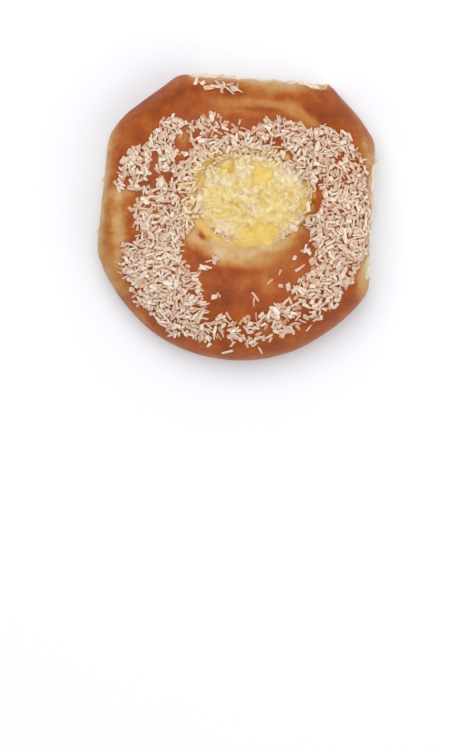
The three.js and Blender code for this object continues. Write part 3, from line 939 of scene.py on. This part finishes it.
class Graph:
    """A material's nodes, with a short call for each kind that is used."""

    def __init__(self, name):
        self.material = bpy.data.materials.new(name)
        self.material.use_nodes = True
        self.nodes = self.material.node_tree.nodes
        self.links = self.material.node_tree.links
        self.shader = self.nodes["Principled BSDF"]
        self.coordinates = self.nodes.new("ShaderNodeTexCoord").outputs["Object"]

    def feed(self, socket, value):
        """Links an output to a socket, or sets it to a number or colour."""
        if isinstance(value, (int, float, tuple)):
            socket.default_value = value
        else:
            self.links.new(value, socket)

    def put(self, name, value):
        self.feed(self.shader.inputs[name], value)

    def attribute(self, name):
        node = self.nodes.new("ShaderNodeAttribute")
        node.attribute_name = name
        return node.outputs["Fac"]

    def texture(self, kind, spacing):
        node = self.nodes.new(kind)
        node.inputs["Scale"].default_value = 1 / (spacing * METRES)
        self.links.new(self.coordinates, node.inputs["Vector"])
        return node

    def noise(self, spacing, detail=3):
        node = self.texture("ShaderNodeTexNoise", spacing)
        node.inputs["Detail"].default_value = detail
        node.inputs["Roughness"].default_value = 0.55
        return node.outputs["Fac"]

    def pits(self, spacing):
        return self.texture("ShaderNodeTexVoronoi", spacing).outputs["Distance"]

    def math(self, operation, a, b, clamp=False):
        node = self.nodes.new("ShaderNodeMath")
        node.operation = operation
        node.use_clamp = clamp
        for socket, value in zip(node.inputs, (a, b)):
            self.feed(socket, value)
        return node.outputs["Value"]

    def times(self, name, amount):
        """A piece's attribute, times an amount."""
        return self.math("MULTIPLY", self.attribute(name), amount)

    def mottle(self, spacing, amount):
        """Noise from minus to plus an amount."""
        return self.math("MULTIPLY", self.math("SUBTRACT", self.noise(spacing), 0.5), 2 * amount)

    def ramp(self, value, *stops):
        """Blends colours as a screen shows them, each after its place from 0 to 1."""
        node = self.nodes.new("ShaderNodeValToRGB")
        elements = node.color_ramp.elements
        for element, (position, *_) in zip(elements, (stops[0], stops[-1])):
            element.position = position
        for position, *_ in stops[1:-1]:
            elements.new(position)
        for element, (_, *colour) in zip(elements, stops):
            element.color = srgb(*colour)
        self.links.new(value, node.inputs["Fac"])
        return node.outputs["Color"]

    def blend(self, share, a, b):
        node = self.nodes.new("ShaderNodeMix")
        node.data_type = "RGBA"
        for name, value in (("Factor", share), ("A", a), ("B", b)):
            self.feed(next(s for s in node.inputs if s.name == name and s.enabled), value)
        return next(s for s in node.outputs if s.enabled)

    def bump(self, height, distance, strength):
        node = self.nodes.new("ShaderNodeBump")
        node.inputs["Distance"].default_value = distance * METRES
        node.inputs["Strength"].default_value = strength
        self.links.new(height, node.inputs["Height"])
        self.put("Normal", node.outputs["Normal"])

    def scatter(self, weight, radius, scale):
        self.put("Subsurface Weight", weight)
        self.put("Subsurface Radius", radius)
        self.put("Subsurface Scale", scale * METRES)


def crust_material():
    graph = Graph("crust")
    mottle = graph.math("ADD", graph.mottle(9, 0.16), graph.mottle(1.6, 0.05))
    brown = graph.math("ADD", graph.attribute("browning"), mottle, clamp=True)
    crust = graph.ramp(
        brown,
        (0, 212, 198, 162),
        (0.25, 198, 158, 108),
        (0.5, 180, 120, 58),
        (0.75, 160, 76, 19),
        (1, 112, 44, 14),
    )
    # The torn crumb is darker where its relief is low: painted shade in its pores and holes.
    depth = graph.math("ADD", graph.attribute("crumb"), graph.mottle(1.2, 0.15), clamp=True)
    crumb = graph.ramp(depth, (0.1, 204, 168, 126), (0.5, 225, 203, 172), (0.9, 236, 223, 203))
    bare = graph.blend(graph.attribute("torn"), crust, crumb)
    # Crust near and under the coconut is darker and wetter: partly its real glaze, partly painted shade in
    # the gaps between the shreds.
    glazed_and_shaded = graph.blend(graph.times("glaze_and_gap_shade", 0.5), bare, srgb(148, 74, 34))
    graph.put("Base Color", graph.blend(graph.times("stained", 0.75), glazed_and_shaded, srgb(226, 188, 106)))
    satin = graph.math("ADD", 0.5, graph.mottle(3, 0.08))
    wetter = graph.math("SUBTRACT", satin, graph.times("glaze_and_gap_shade", 0.2))
    graph.put("Roughness", graph.math("ADD", wetter, graph.times("torn", 0.4), clamp=True))
    graph.put("Specular IOR Level", 0.2)
    fine = graph.math("ADD", graph.noise(0.7, 4), graph.math("MULTIPLY", graph.pits(1.1), 0.3))
    graph.bump(graph.math("ADD", fine, graph.noise(2.6, 2)), 0.16, 0.6)
    graph.scatter(0.12, (1.0, 0.4, 0.15), 2.0)
    return graph.material


def custard_material():
    graph = Graph("custard")
    tone = graph.math("ADD", graph.noise(6), graph.mottle(1.2, 0.12))
    colour = graph.ramp(tone, (0.25, 206, 160, 68), (0.45, 217, 184, 86), (0.7, 222, 194, 104))
    # Darker ochre along the folds: painted shade in the custard's folds.
    fold_painted_shade = graph.blend(graph.times("fold_painted_shade", 0.6), colour, srgb(206, 150, 58))
    mixed = graph.blend(graph.times("mixed", 0.75), fold_painted_shade, srgb(230, 204, 136))
    milky = graph.blend(graph.times("milky", 0.7), mixed, srgb(232, 212, 172))
    graph.put("Base Color", graph.blend(graph.times("rim", 0.5), milky, srgb(220, 184, 112)))
    graph.put("Roughness", graph.math("ADD", 0.34, graph.mottle(2, 0.1)))
    graph.bump(graph.noise(0.9), 0.12, 0.5)
    graph.scatter(0.5, (1.0, 0.75, 0.35), 2.5)
    graph.put("Specular IOR Level", 0.35)
    graph.put("Coat Weight", 0.15)
    graph.put("Coat Roughness", 0.15)
    return graph.material


def coconut_material():
    graph = Graph("coconut")
    # Higher shreds take the paler tones: partly drier, partly painted shade on the lower ones.
    lifted = graph.math("ADD", graph.times("shade", 0.55), graph.times("dryness_and_height_shade", 0.4))
    uneven = graph.math("ADD", lifted, graph.mottle(0.8, 0.2))
    # Thin edges take darker, more orange tones: painted shade and painted light through the thin edge.
    thin_edge_shade = graph.math("SUBTRACT", 0.1, graph.times("edge", 0.25))
    varied = graph.math("ADD", uneven, thin_edge_shade, clamp=True)
    dry = graph.ramp(
        varied,
        (0, 196, 132, 96),
        (0.3, 208, 163, 134),
        (0.6, 219, 189, 165),
        (1, 238, 217, 200),
    )
    soaked = graph.ramp(varied, (0, 224, 187, 108), (0.4, 230, 198, 130), (0.8, 237, 211, 162))
    graph.put("Base Color", graph.blend(graph.attribute("soaked"), dry, soaked))
    graph.put("Roughness", 0.5)
    graph.put("Specular IOR Level", 0.3)
    graph.bump(graph.noise(0.3, 2), 0.04, 0.5)
    graph.scatter(0.5, (1.0, 0.75, 0.55), 1.0)
    return graph.material


def crumb_material():
    graph = Graph("torn_crumb")
    graph.put("Base Color", graph.ramp(graph.noise(1.5), (0.3, 206, 174, 134), (0.7, 232, 216, 190)))
    graph.put("Roughness", 0.9)
    graph.scatter(0.2, (1.0, 0.7, 0.45), 1.2)
    return graph.material


def dress(piece, material, node=None):
    piece.data.materials.append(material)
    if node:
        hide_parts(node)


def tone_change(points, patches):
    """What pale and dark patches add to how brown the crust is."""
    change = np.zeros(points.shape[:-1])
    for patch in patches:
        change += patch["amount"] * patch_share(points, patch)
    return change


def browning(points):
    """How brown the crust is, from 0, pale dough, to 1, the darkest crust."""
    angle, reach = polar(points)
    torn_here = torn_share(angle)
    height = points[..., 2]
    brown = CRUST_BROWN + layered(points, CRUST_TONE) + tone_change(points, CRUST_PATCHES_AND_SHADE)
    at_edge = torn_here * smooth_step(reach, 45, 50)
    for amount, near, far in TORN_EDGE_PALE:
        brown -= amount * at_edge * (1 - smooth_step(outline(angle) - reach, near, far))
    brown -= CREASE_PALE * crease_share(points, 1.6)
    # Lower sides are paler: real paler crust, and on every side also painted light against the sides' shade.
    for where, (amount, low, high) in ((1 - torn_here, FREE_SIDE_PALE), (1, SIDE_PALE_AND_PAINTED_LIGHT)):
        brown -= amount * where * (1 - smooth_step(height, low, high))
    pale = LIP_BROWN + layered(points, LIP_TONE) + tone_change(points, LIP_PATCHES)
    off_lip = ellipse_share(LIP, points) + layered(points, LIP_RAGGED) - widened(LIP_PALE, points)
    brown = mix(pale, brown, smooth_step(off_lip, -0.17, 0.13))
    brown += BLISTER["amount"] * patch_share(points, BLISTER) * smooth_step(height, *CROWN_FROM)
    base = BASE_BROWN + 0.1 * noise(points, 13, 7.7)
    return np.clip(mix(base, brown, smooth_step(height, 0.3, 4)), 0, 1)


def make_dough(field, grid):
    points = grid_vertices(grid)
    piece = piece_from("bun_crust", points, grid_faces(grid))
    torn = torn_mask(points)
    # Where coconut lies on the crust, blurred: real glaze there, and painted shade between and under the
    # shreds.
    glaze_and_shade = smooth_step(field.thickness(points, GLAZE_AND_SHADE_BLUR), 0.05, 0.5)
    upward = smooth_step(points[:, 2], 18, 22)
    off_pool = ellipse_share(POOL, points) + layered(points, STAIN_RAGGED) - widened(STAIN, points)
    attributes = {
        "browning": browning(points),
        "torn": torn,
        # The crumb's relief height, which paints shade into its pores and holes.
        "crumb": smooth_step(torn_crumb(points), *CRUMB_DEPTHS),
        "stained": (1 - smooth_step(off_pool, 0, 0.12)) * upward,
        "glaze_and_gap_shade": glaze_and_shade * upward * (1 - torn),
    }
    set_attributes(piece, attributes)
    dress(piece, crust_material(), "dough")


def make_custard(field, grid):
    top = grid[:, 2:]
    inside = 1 - smooth_step(ellipse_share(POOL, top), 0.88, 0.99)
    top[..., 2] += CUSTARD_COATING * inside * field.thickness(top, CUSTARD_BLUR)
    points = grid_vertices(grid)
    piece = piece_from("custard_filling", points, grid_faces(grid))
    thick = field.thickness(points, CUSTARD_BLUR)
    pale = np.max([patch_share(points, patch) for patch in PALE_CUSTARD], axis=0)
    attributes = {
        # Painted shade along the custard's folds.
        "fold_painted_shade": fold_share(points)[0],
        "mixed": smooth_step(thick, 0.05, 0.5),
        "rim": smooth_step(ellipse_share(POOL, points), 0.86, 1.02),
        "milky": pale * smooth_step(thick, 0.02, 0.3),
    }
    set_attributes(piece, attributes)
    dress(piece, custard_material(), "custard")


def draw_on_crust(rng):
    """A place on the crust, drawn again until it is off the pool."""
    while True:
        angle = rng.random() * 2 * math.pi
        reach = math.sqrt(mix(DRAWN_REACH[0] ** 2, DRAWN_REACH[1] ** 2, rng.random()))
        place = np.array([reach * math.cos(angle), reach * math.sin(angle)])
        if ellipse_share(POOL, place) >= 1:
            return place.tolist()


def draw_on_custard(rng):
    angle = rng.random() * 2 * math.pi
    reach = math.sqrt(rng.random())
    x = POOL["x"] + reach * POOL["reach_x"] * math.cos(angle)
    y = POOL["y"] + reach * POOL["reach_y"] * math.sin(angle)
    return x, y


def make_bun():
    dough = fine_dough()
    custard = fine_custard(np.arange(CUSTARD_ROUND_STEPS) / CUSTARD_ROUND_STEPS * 2 * math.pi)
    field = HeightField(surface_tree([dough, custard]))
    rng = np.random.default_rng(SEEDS["laying"])
    on_custard = lay_coconut(field, draw_on_custard, custard_cover, rng, ON_CUSTARD)
    on_crust = lay_coconut(field, draw_on_crust, crust_cover, rng, ON_CRUST)
    lay_strays(field, rng, on_crust)
    make_dough(field, dough)
    make_custard(field, custard)
    coconut = coconut_material()
    dress(coconut_piece("coconut_on_crust", on_crust), coconut)
    dress(coconut_piece("coconut_on_custard", on_custard), coconut)
    dress(crumb_piece("torn_crumbs", dough), crumb_material())


def make_camera():
    camera = bpy.data.cameras.new("camera")
    camera.sensor_fit = "VERTICAL"
    camera.sensor_height = 24
    camera.lens = camera.sensor_height * CAMERA_DISTANCE / (PIXEL * IMAGE_HEIGHT)
    camera.clip_end = 10
    placed = new_object("camera", camera)
    x = FRAME_CENTRE[0] + BUN_MIDDLE[0]
    y = FRAME_CENTRE[1] + BUN_MIDDLE[1]
    placed.location = Vector((x, y, CAMERA_DISTANCE + WIDEST_HEIGHT)) * METRES
    bpy.context.scene.camera = placed


def add_area_light(name, place, power, colour):
    light = bpy.data.lights.new(name, "AREA")
    light.shape = "DISK"
    light.size = LIGHT_SIZE
    light.energy = power
    light.color = colour
    placed = new_object(name, light)
    placed.location = place
    placed.rotation_euler = (-Vector(place)).to_track_quat("-Z", "Y").to_euler()


def make_lights():
    for light in LIGHTS:
        add_area_light(*light)
    world = bpy.data.worlds.new("studio")
    world.use_nodes = True
    background = world.node_tree.nodes["Background"]
    background.inputs["Color"].default_value = SKY_COLOUR
    background.inputs["Strength"].default_value = SKY_STRENGTH
    bpy.context.scene.world = world


def make_floor():
    corners = [(x * FLOOR_HALF, y * FLOOR_HALF, 0) for x, y in ((-1, -1), (1, -1), (1, 1), (-1, 1))]
    mesh = bpy.data.meshes.new("floor")
    mesh.from_pydata(corners, [], [(0, 1, 2, 3)])
    floor = new_object("floor", mesh)
    floor.location.z = FLOOR_HEIGHT
    graph = Graph("floor")
    graph.put("Base Color", FLOOR_COLOUR)
    graph.put("Roughness", 0.8)
    mesh.materials.append(graph.material)


def set_view():
    view = bpy.context.scene.view_settings
    view.view_transform = "Standard"
    view.look = "None"
    view.exposure = 0
    view.gamma = 1


make_camera()
make_lights()
make_floor()
set_view()
make_bun()
